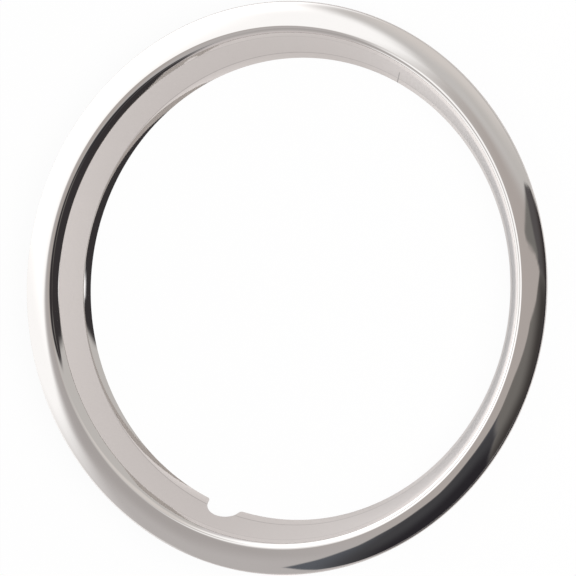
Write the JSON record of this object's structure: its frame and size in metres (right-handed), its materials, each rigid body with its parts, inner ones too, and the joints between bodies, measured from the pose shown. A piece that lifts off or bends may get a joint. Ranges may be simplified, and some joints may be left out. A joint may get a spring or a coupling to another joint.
{
  "type": "wheel trim ring",
  "caption": "Polished sheet-metal trim ring for a car wheel, with a rolled outer lip, a short sloping throat, a conical skirt with a slightly turned-in rear lip and a half-round valve notch.",
  "frame": {"origin": "on the ring's axis, in the plane of its rear edge", "axes": "+Z along the ring's axis towards the bright front face, with the valve notch on the -Y side"},
  "size_m": [0.41, 0.41, 0.0297],
  "materials": {
    "polished_steel": "mirror-polished stainless steel sheet"
  },
  "bodies": {
    "root": {"trim_ring": "polished_steel"}
  },
  "joints": []
}
